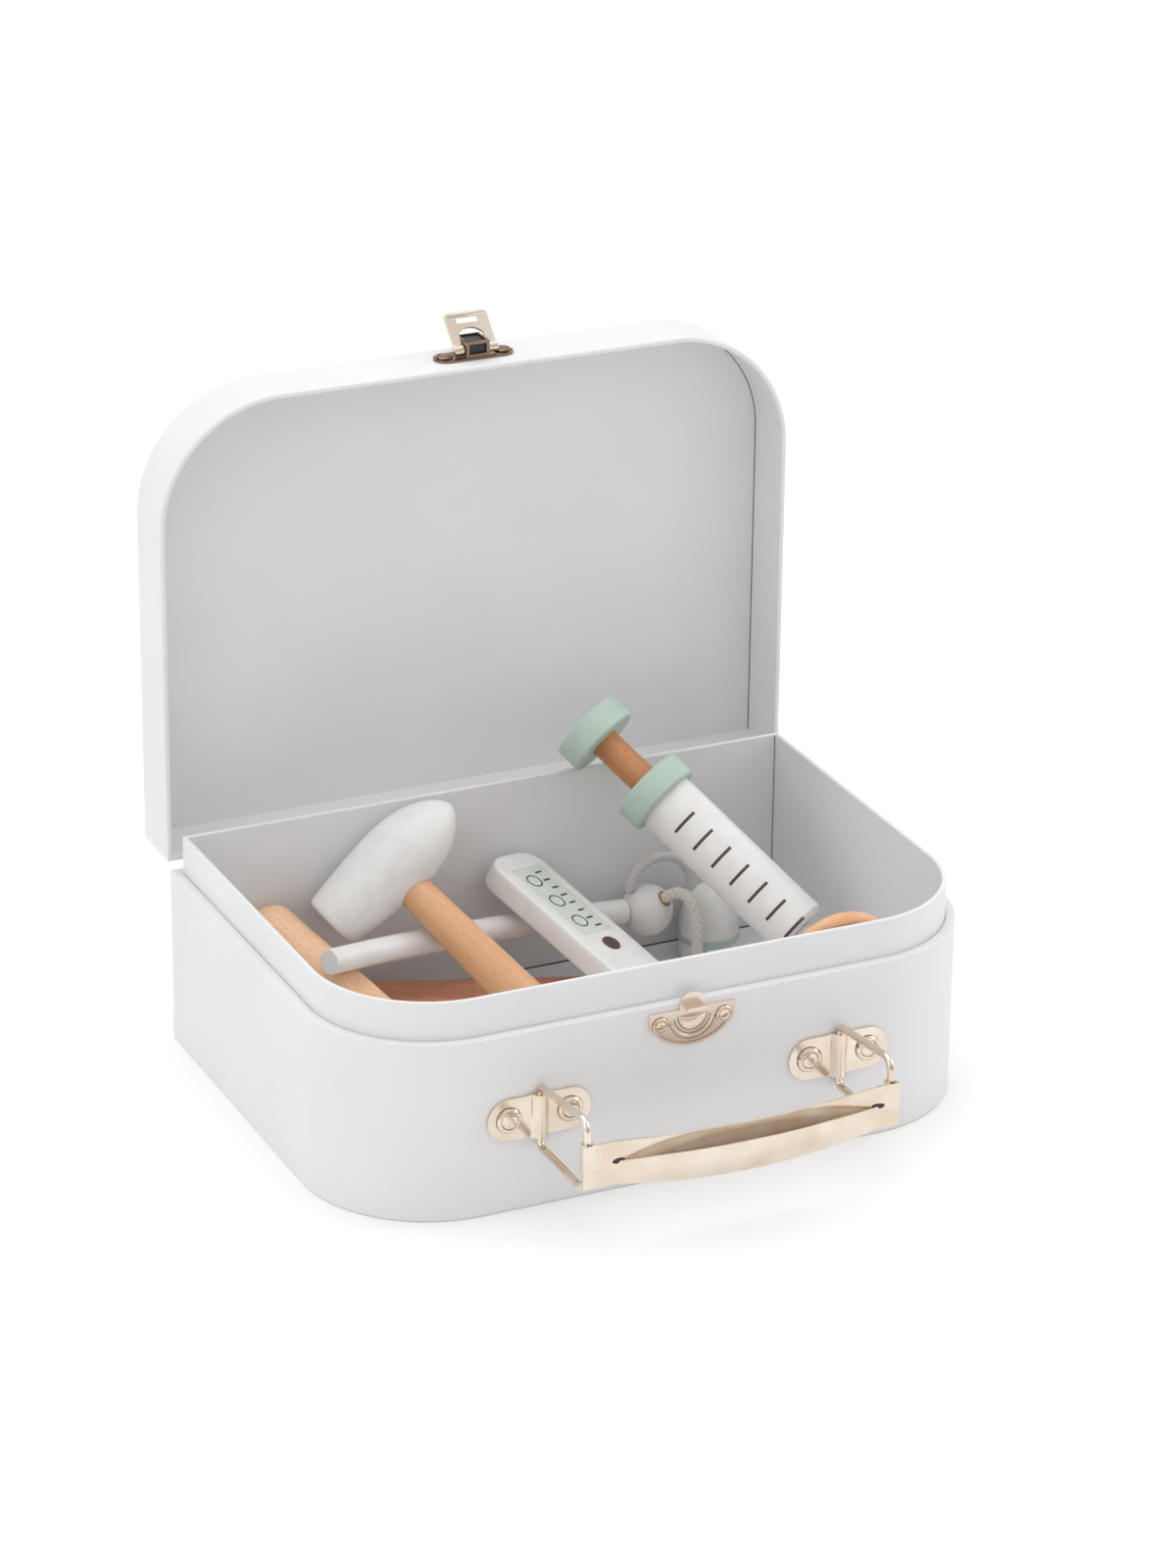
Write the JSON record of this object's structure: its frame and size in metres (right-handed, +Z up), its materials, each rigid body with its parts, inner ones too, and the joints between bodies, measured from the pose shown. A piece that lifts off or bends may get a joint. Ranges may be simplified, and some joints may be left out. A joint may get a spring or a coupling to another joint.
{
  "type": "toy doctor case",
  "caption": "Open toy doctor case of white board with gold-coloured metal fittings and a swinging handle, holding wooden and painted toy instruments.",
  "frame": {"origin": "middle of the underside of the case, on the table", "axes": "+X to the right, +Y to the back where the hinges are, +Z up; the lid is drawn open"},
  "size_m": [0.25, 0.2467, 0.2587],
  "materials": {
    "paper_board": "white paper-covered board, matte",
    "gold_metal": "pale gold-coloured plated sheet, satin",
    "beech": "warm light wood, smooth and unpainted",
    "red_wood": "reddish brown wood, smooth",
    "white_paint": "white painted wood, satin",
    "mint_paint": "mint green paint, satin",
    "brown_paint": "dark brown paint, glossy",
    "mirror_glass": "mirror plate, clear",
    "cord": "braided pale cord"
  },
  "bodies": {
    "case": {"base_floor": "paper_board", "base_band": "paper_board", "base_back": "paper_board", "inner_collar": "paper_board", "hinge_leaves_lower": "gold_metal", "hinge_pins": "gold_metal", "hinge_rivets_base": "gold_metal", "catch_plate": "gold_metal", "catch_rivets": "gold_metal", "bracket_left": "gold_metal", "bracket_right": "gold_metal", "bracket_rivets": "gold_metal", "stethoscope_arm": "white_paint", "stethoscope_bead": "white_paint", "stethoscope_arch": "white_paint", "stethoscope_cord": "cord", "chest_piece": "white_paint", "chest_ring": "mint_paint", "wooden_handle": "beech", "wooden_bar": "red_wood"},
    "lid": {"lid_panel": "paper_board", "lid_band": "paper_board", "lid_back": "paper_board", "hinge_leaves_upper": "gold_metal", "hinge_rivets_lid": "gold_metal", "hasp_plate": "gold_metal", "hasp_housing": "gold_metal", "hasp_pin": "gold_metal", "hasp_rivets": "gold_metal"},
    "flap": {"hasp_flap": "gold_metal"},
    "left_ring": {"ring_left": "gold_metal"},
    "right_ring": {"ring_right": "gold_metal"},
    "grip": {"handle_grip": "gold_metal"},
    "hammer": {"hammer_head": "white_paint", "hammer_handle": "beech"},
    "thermometer": {"thermometer_body": "white_paint", "thermometer_panel": "mint_paint", "thermometer_button": "brown_paint"},
    "syringe": {"syringe_barrel": "white_paint", "syringe_collar": "mint_paint", "syringe_nozzle": "white_paint"},
    "plunger": {"plunger_knob": "mint_paint", "plunger_rod": "beech", "plunger_piston": "white_paint"},
    "mirror": {"mirror_frame": "beech", "mirror_plate": "mirror_glass"}
  },
  "joints": [
    {"name": "lid_hinge", "type": "hinge", "parent": "case", "child": "lid", "pos_m": [0, 0.0889, 0.0681], "axis": [1, 0, 0], "range_deg": [0, 90]},
    {"name": "flap_hinge", "type": "hinge", "parent": "lid", "child": "flap", "pos_m": [0.0017, 0.0988, 0.2475], "axis": [1, 0, 0], "range_deg": [0, 134]},
    {"name": "syringe_tuck", "type": "slide", "parent": "case", "child": "syringe", "axis": [0, -0.866, -0.5], "range_m": [0, 0.0485]},
    {"name": "plunger_push", "type": "slide", "parent": "syringe", "child": "plunger", "axis": [0.475, -0.678, -0.561], "range_m": [0, 0.0205]},
    {"name": "left_ring_swing", "type": "hinge", "parent": "case", "child": "left_ring", "pos_m": [-0.0563, -0.0885, 0.0358], "axis": [0, 0, 1], "range_deg": [-70, 70]},
    {"name": "grip_swing", "type": "hinge", "parent": "left_ring", "child": "grip", "pos_m": [-0.0563, -0.1265, 0.0358], "axis": [0, 0, 1], "range_deg": [-70, 70]},
    {"name": "right_ring_swing", "type": "hinge", "parent": "case", "child": "right_ring", "pos_m": [0.0597, -0.0885, 0.0358], "axis": [0, 0, 1], "range_deg": [-70, 70]},
    {"name": "hammer_lift", "type": "slide", "parent": "case", "child": "hammer", "axis": [0, 0, -1], "range_m": [-0.1, 0]},
    {"name": "thermometer_lift", "type": "slide", "parent": "case", "child": "thermometer", "axis": [0, 0, -1], "range_m": [-0.1, 0]},
    {"name": "mirror_lift", "type": "slide", "parent": "case", "child": "mirror", "axis": [0, 0, -1], "range_m": [-0.1, 0]}
  ],
  "couplings": [
    {"joint": "syringe_tuck", "follows": "lid_hinge", "m_per_rad": 0.030812},
    {"joint": "grip_swing", "follows": "left_ring_swing", "ratio": -1},
    {"joint": "right_ring_swing", "follows": "left_ring_swing", "ratio": 1}
  ]
}
